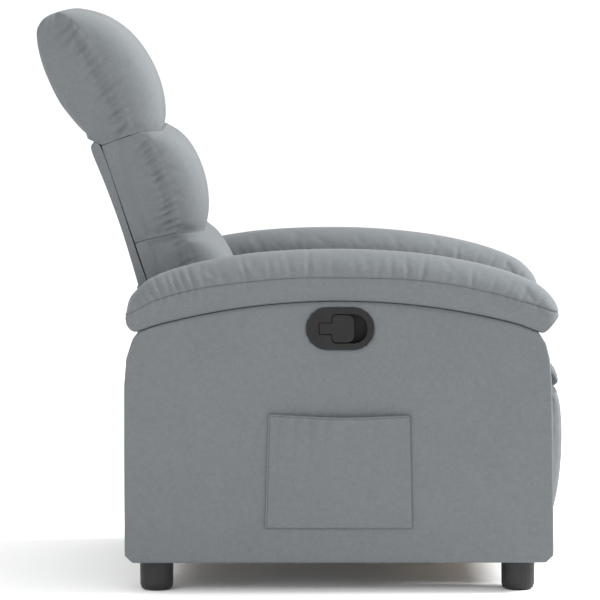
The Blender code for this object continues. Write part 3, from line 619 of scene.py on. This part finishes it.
def make_footrest():
    """Footrest pad, upright under the seat's roll."""
    return loft("footrest_pillow", [
        [(0.4300, 0.1020), (0.4300, 0.2200), (0.4300, 0.3440)],
        [(0.4400, 0.1010), (0.4480, 0.1500), (0.4490, 0.2200), (0.4490, 0.3000), (0.4440, 0.3450)],
        [(0.4480, 0.1040), (0.4560, 0.1250), (0.4635, 0.1600), (0.4685, 0.2050), (0.4713, 0.2555),
         (0.4713, 0.2990), (0.4680, 0.3320), (0.4610, 0.3460)]],
        [(0, 0), (0, 0.2150), (0.15, 0.2270), (0.6, 0.2305), (1, 0.2310), (1.5, 0.2280), (1.8, 0.2190),
         (1.95, 0.2030), (2, 0.1750), (2, 0)],
        rounded(0.014, 0.002), rows=48, columns=60, bias=0.4)


def make_arm_pad(word, side):
    """Arm pad: lower face along the arch, side seam and crest, with both ends turned down."""
    return loft(f"arm_pillow_{word}", [
        [(-0.3140, 0.4900), (-0.3115, 0.4770), (-0.3040, 0.4675), (-0.2950, 0.4646), (-0.2850, 0.4672),
         *arch_line(-0.262, 0.380, 0.0003),
         (0.4020, 0.4703), (0.4190, 0.4638), (0.4270, 0.4622), (0.4345, 0.4668), (0.4460, 0.4795),
         (0.4560, 0.4930)],
        [(-0.3155, 0.4935), (-0.3040, 0.5000), (-0.2860, 0.5090), (-0.2650, 0.5205), (-0.2196, 0.5350),
         (-0.1825, 0.5438), (-0.1208, 0.5524), (-0.0714, 0.5575), (-0.0044, 0.5622), (0.0749, 0.5622),
         (0.1886, 0.5591), (0.2866, 0.5462), (0.3837, 0.5224), (0.4237, 0.5098), (0.4450, 0.5010),
         (0.4575, 0.4990)],
        [(-0.3150, 0.4970), (-0.3095, 0.5220), (-0.2954, 0.5387), (-0.2786, 0.5540), (-0.2530, 0.5663),
         (-0.1818, 0.5858), (-0.0929, 0.6005), (-0.0040, 0.6070), (0.0671, 0.6080), (0.1738, 0.6035),
         (0.2627, 0.5930), (0.3518, 0.5740), (0.4160, 0.5498), (0.4366, 0.5348), (0.4527, 0.5151),
         (0.4572, 0.5015)]],
        [(0, 0), (0, 0.0455), (0.03, 0.0474), (0.13, 0.0508), (0.36, 0.0560), (0.66, 0.0600),
         (0.90, 0.0614), (1.0, 0.0610), (1.08, 0.0614), (1.25, 0.0606), (1.50, 0.0565), (1.72, 0.0480),
         (1.88, 0.0360), (1.96, 0.0240), (1.99, 0.0130), (2, 0.0070), (2, 0)],
        rounded(0.036, 0.0015), centre=side * PAD_CENTRE, rows=150, columns=34, bias=0.25)


def make_arm_cover(word, side):
    """Arm shell: level guides for the flat sides, and one along the arched top."""
    levels = ((0.0525, -0.3020, 0.4330), (0.0660, -0.3160, 0.4470), (0.1600, -0.3165, 0.4458),
              (0.2700, -0.3165, 0.4448), (0.3700, -0.3160, 0.4424), (0.4180, -0.3120, 0.4382),
              (0.4450, -0.3035, 0.4312))
    guides = [[(rear, up), (0.06, up), (front, up)] for up, rear, front in levels]
    guides.append([(-0.2870, 0.4660), *arch_line(-0.262, 0.380, 0), (0.4020, 0.4700), (0.4190, 0.4634)])
    return loft(f"arm_skin_{word}", guides,
                [(0, 0), (0, 0.0440), (0.15, 0.0478), (0.9, 0.0488), (4, 0.0492), (6, 0.0491),
                 (6.95, 0.0490), (7, 0.0480), (7, 0)],
                rounded(0.0045, 0.0002), centre=side * COVER_CENTRE, rows=130, columns=70, bias=0.75)


def make_rear_panel():
    """Fabric-covered board between the arms at the rear."""
    return loft("rear_skin", [
        [(-0.2740, 0.0590), (-0.2760, 0.0650), (-0.2768, 0.2000), (-0.2760, 0.3230), (-0.2740, 0.3290)],
        [(-0.2693, 0.0580), (-0.2693, 0.2000), (-0.2693, 0.3300)],
        [(-0.2650, 0.0590), (-0.2627, 0.0650), (-0.2625, 0.2000), (-0.2627, 0.3230), (-0.2650, 0.3290)]],
        [(0, 0), (0, 0.2300), (0.3, 0.2375), (1, 0.2392), (1.7, 0.2375), (2, 0.2300), (2, 0)],
        unchanged, rows=50, columns=60, bias=0.3)


def make_pocket():
    """Patch pocket and its lines of stitches: a hemmed mouth that sags and stands off the arm, with gathers
    below it, and flat sewn sides and bottom.
    """
    rows, columns = 60, 80
    t = np.linspace(0, 1, rows)[:, None]
    s = np.linspace(0, 1, columns)[None, :]
    left = -0.0665 + (-0.0605 + 0.0665) * t
    right = 0.1945 + (0.1903 - 0.1945) * t
    forward = left + (right - left) * s
    sag = 0.0042 * np.sin(math.pi * s) ** 1.5
    top = 0.3196 - 0.0024 * s - sag
    up = 0.1160 + (top - 0.1160) * t
    bulge = np.sin(math.pi * s) ** 0.55 * (0.0015 + 0.0075 * t ** 2.2)
    for along, width, press in ((0.10, 0.024, 0.0046), (0.215, 0.022, 0.0050), (0.325, 0.022, 0.0056),
                                (0.43, 0.022, 0.0046), (0.60, 0.030, 0.0020), (0.78, 0.026, 0.0026)):
        bulge = bulge - press * falloff(s - along + 0.03 * (1 - t), width) * t ** 3
    hem = (0.0010 * np.exp(-((t - 1) / 0.07) ** 4) + 0.0008 * np.exp(-(s / 0.03) ** 4)
           + 0.0012 * np.exp(-((1 - s) / 0.03) ** 4))
    outer = ARM_SIDE + 0.0022 + bulge + hem
    inner = outer - 0.0020 - hem
    grid = [np.stack(np.broadcast_arrays(x, forward, up), -1).reshape(-1, 3) for x in (outer, inner)]
    index = np.arange(rows * columns).reshape(rows, columns)
    faces = []
    corners = np.stack([index[:-1, :-1], index[:-1, 1:], index[1:, 1:], index[1:, :-1]], -1)
    for quad in corners.reshape(-1, 4):
        faces += [quad.tolist(), (index.size + quad[::-1]).tolist()]
    rim = np.concatenate([index[0], index[1:, -1], index[-1, -2::-1], index[-2:0:-1, 0]]).tolist()
    faces += [(a, index.size + a, index.size + b, b) for a, b in zip(rim, rim[1:] + rim[:1])]
    outside = np.stack(np.broadcast_arrays(-outer - 0.0001, -forward, up), -1)
    stitches = [outside[:, 1], outside[-2, 1:]]
    return add_object("pocket_cloth", np.vstack(grid), faces), stitches


def thread_and_shade_line(name, path, material, radius):
    """Thin dark tube along a path of points: the pocket's lines of stitches, and painted seam shade along
    the arm pads.
    """
    curve = bpy.data.curves.new(name, "CURVE")
    curve.dimensions, curve.bevel_depth, curve.bevel_resolution = "3D", radius, 2
    line = curve.splines.new("POLY")
    line.points.add(len(path) - 1)
    for point, spot in zip(line.points, path):
        point.co = (*spot, 1)
    stitch_and_seam_shade = bpy.data.objects.new(name, curve)
    bpy.context.scene.collection.objects.link(stitch_and_seam_shade)
    stitch_and_seam_shade.data.materials.append(material)
    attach(stitch_and_seam_shade, "base")
    return stitch_and_seam_shade


def seam_path(piece, side):
    """Points just above the piece's second guide, on its outer or inner side."""
    number, row, points = read(piece, "number"), read(piece, "row"), read(piece)
    direction = normals(piece)
    middle = 0.5 * (points[:, 0].min() + points[:, 0].max())
    on_side = (points[:, 0] - middle) * side < -0.02
    path = []
    for level in np.unique(np.round(row, 4)):
        near = np.nonzero(on_side & (np.abs(row - level) < 0.0001))[0]
        if len(near) > 4 and 0.004 < level < 0.996:
            order = near[np.argsort(np.abs(number[near] - 1))[:2]]
            gap = np.abs(number[order] - 1)[::-1] / max(np.ptp(number[order]), 1e-6)
            share = np.clip(gap, 0, 1)[:, None]
            path.append((points[order] * share).sum(0) + direction[order[0]] * 0.0002)
    return path


def stadium_tool(name, half, straight, near, far, centre):
    """Prism from near to far outward: two half circles of radius half, each straight from the centre."""
    outline = []
    for facing, middle in ((math.pi, centre[0] - straight), (0.0, centre[0] + straight)):
        for step in range(17):
            turn = facing - math.pi / 2 + math.pi * step / 16
            outline.append((middle + half * math.cos(turn), centre[1] + half * math.sin(turn)))
    count = len(outline)
    points = [(near, *p) for p in outline] + [(far, *p) for p in outline]
    faces = [list(range(count)), list(range(count, 2 * count))]
    faces += [(k, (k + 1) % count, count + (k + 1) % count, count + k) for k in range(count)]
    return add_object(name, points, faces)


def finish_soft(piece, body, node, material):
    """Give the piece its material, and let it stand for the node on the body."""
    piece.data.materials.clear()
    piece.data.materials.append(material)
    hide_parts(node)
    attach(piece, body)


# ---------------------------------------------------------------- camera, light and floor

def add_light(name, spot, target, size, power):
    """Square light at a spot, facing its target."""
    lamp = bpy.data.lights.new(name, "AREA")
    lamp.shape, lamp.size, lamp.energy = "SQUARE", size, power
    holder = bpy.data.objects.new(name, lamp)
    holder.location = spot
    holder.rotation_euler = (Vector(target) - Vector(spot)).to_track_quat("-Z", "Y").to_euler()
    bpy.context.scene.collection.objects.link(holder)


def add_camera():
    """Long lens from the sitter's right, slightly above level."""
    camera = bpy.data.cameras.new("camera")
    camera.lens, camera.sensor_width = 234.41, 36.0
    camera.clip_end = 60.0
    holder = bpy.data.objects.new("camera", camera)
    pitch, swing = math.radians(4.959), math.radians(-0.3666)
    heading = Vector((math.cos(pitch) * math.cos(swing), math.cos(pitch) * math.sin(swing),
                      -math.sin(pitch)))
    holder.location = (-7.215, 0.0484, 1.1190)
    holder.rotation_euler = heading.to_track_quat("-Z", "Y").to_euler()
    bpy.context.scene.collection.objects.link(holder)
    bpy.context.scene.camera = holder


def add_studio():
    """Soft white surroundings, two lights and a pale paper floor."""
    add_light("key", (0.3, -3.8, 3.6), (0, 0, 0.6), size=1.8, power=425)
    add_light("fill", (-3.6, 2.8, 3.0), (0, 0, 0.5), size=1.6, power=75)
    world = bpy.data.worlds.new("studio")
    world.use_nodes = True
    background = world.node_tree.nodes["Background"]
    background.inputs["Color"].default_value = (1, 1, 1, 1)
    background.inputs["Strength"].default_value = 1.13
    bpy.context.scene.world = world
    bpy.context.scene.view_settings.view_transform = "Standard"
    paper, tree, shader = nodes_of("floor_paper")
    shader.inputs["Roughness"].default_value = 0.9
    two_tone(tree, shader, noise(tree, 3.0), (0.90, 0.90, 0.90), (0.92, 0.92, 0.92))
    reach, level = 14.0, -0.0005
    floor = add_object("floor", [(-reach, -reach, level), (reach, -reach, level), (reach, reach, level),
                                 (-reach, reach, level)], [(0, 1, 2, 3)])
    floor.data.materials.append(paper)
    floor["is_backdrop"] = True


# ---------------------------------------------------------------- the chair

def dress_frame(finishes):
    """Finish of each CAD node that stays in view."""
    slots = {part["node"]: part["material_slot"] for part in frame["record"]["subparts"]}
    for name, node in frame["nodes"].items():
        if slots.get(name) in finishes:
            finish = slots[name]
            # the back frame gets the near-black painted shade, standing in for shade in the gaps between
            # the back's pieces
            if name == "back_frame":
                finish = "stained"
            elif name.startswith("foot_"):
                finish = "feet"
            node.data.materials.clear()
            node.data.materials.append(finishes[finish])


def plump(tiers, seat, footrest, pads):
    """Inflate the cushions as cloth and make their meshes finer."""
    head, *lower = tiers
    jobs = [(head, held_at(head, TIER_SEAM, 0.08, rear=-0.4, low=SEWN_END, high=HEAD_END), 0.010)]
    jobs += [(tier, held_at(tier, TIER_SEAM, 0.08, rear=1.12, low=SEWN_END, high=SEWN_END), 0.010)
             for tier in lower]
    jobs += [(piece, held_at(piece, 1.0, 0.1, rear=0.3, low=SEWN_END, high=SEWN_END), furthest)
             for piece, furthest in ((seat, 0.010), (footrest, 0.008))]
    jobs += [(pad, held_at(pad, 1.0, 0.06, rear=0.15), 0.006) for pad in pads.values()]
    inflate(jobs)
    for piece, *_ in jobs:
        subdivide(piece)


def make_arms(pads, grey, stitch_and_seam_shade):
    """Finish the arm pads, with a thin dark line of painted seam shade along the seam on both sides, and
    the arm covers.
    """
    for word, side in SIDES.items():
        pad = pads[word]
        for face, facing in (("outer", side), ("inner", -side)):
            # painted seam shade: a dark tube laid along each pad seam
            thread_and_shade_line(f"pad_seam_shade_line_{word}_{face}", seam_path(pad, facing), stitch_and_seam_shade, 0.0006)
        finish_soft(pad, "base", f"arm_pad_{word}", grey)
        arm_skin = make_arm_cover(word, side)
        if word == "right":
            cut(arm_skin, stadium_tool("bezel_hole", half=0.0355, straight=0.0225, near=0.309, far=0.345,
                                       centre=(0.0667, 0.4714)))
        finish_soft(arm_skin, "base", f"arm_cover_{word}", grey)


def fold_seams(head, middle, lumbar, pads):
    """Gathers along the tiers' side seams, and folds and a sunk seam along the arm pads.

    The rear of the left pad has only faint folds.
    """
    gather(head, scattered(seed=3, start=0.015, end=0.225, spacing=0.0130, half=0.0044, reach=0.021,
                           slant=0.42, press=0.0042), 0.060, 1.80)
    gather(middle, scattered(seed=5, start=0.008, end=0.180, spacing=0.0130, half=0.0044, reach=0.017,
                             slant=0.30, press=0.0046), 0.065, 1.85)
    gather(lumbar, scattered(seed=7, start=0.10, end=0.225, spacing=0.0150, half=0.0050, reach=0.015,
                             slant=0.25, press=0.0015), 0.065, 1.9)
    for word, pad in pads.items():
        folds = [(along, *fold, depth * (0.8 if word == "right" or along > 0.54 else 0.15))
                 for along, *fold, depth in PAD_FOLDS]
        gather(pad, folds, PAD_GUIDE_GAP, 1.15)
        groove(pad, PAD_GUIDE_GAP, 0.0022, 0.0010)


def make_side_pocket(grey, stitch_and_seam_shade):
    """The pocket as one stretched sheet on the right arm."""
    pocket, stitches = make_pocket()
    finish_soft(pocket, "base", "side_pocket", grey)
    threads = [thread_and_shade_line(f"pocket_stitch_{k + 1}", path, stitch_and_seam_shade, 0.0004)
               for k, path in enumerate(stitches)]


def upholster():
    """Every soft piece of the chair."""
    grey = fabric("grey_weave", (0.098, 0.107, 0.113), (0.141, 0.152, 0.160))
    # dark thread for the pocket's stitches, also laid along the arm pad seams as painted seam shade
    stitch_and_seam_shade = fabric("dark_thread_and_seam_shade", (0.058, 0.063, 0.067), (0.095, 0.103, 0.108))
    head, middle, lumbar, back_skin = make_back()
    seat, footrest = make_seat(), make_footrest()
    pads = {word: make_arm_pad(word, side) for word, side in SIDES.items()}
    plump((head, middle, lumbar), seat, footrest, pads)
    fold_seams(head, middle, lumbar, pads)
    for piece, node in ((head, "head_cushion"), (middle, "middle_cushion"), (lumbar, "lumbar_cushion"),
                        (back_skin, "back_cover")):
        finish_soft(piece, "back", node, grey)
    finish_soft(seat, "seat", "seat_cushion", grey)
    finish_soft(footrest, "footrest", "footrest_pad", grey)
    make_arms(pads, grey, stitch_and_seam_shade)
    finish_soft(make_rear_panel(), "base", "rear_panel", grey)
    make_side_pocket(grey, stitch_and_seam_shade)


add_camera()
add_studio()
dress_frame(make_finishes())
upholster()
[[list(corner) for corner in box] for box in (CAD_BOX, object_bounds())]
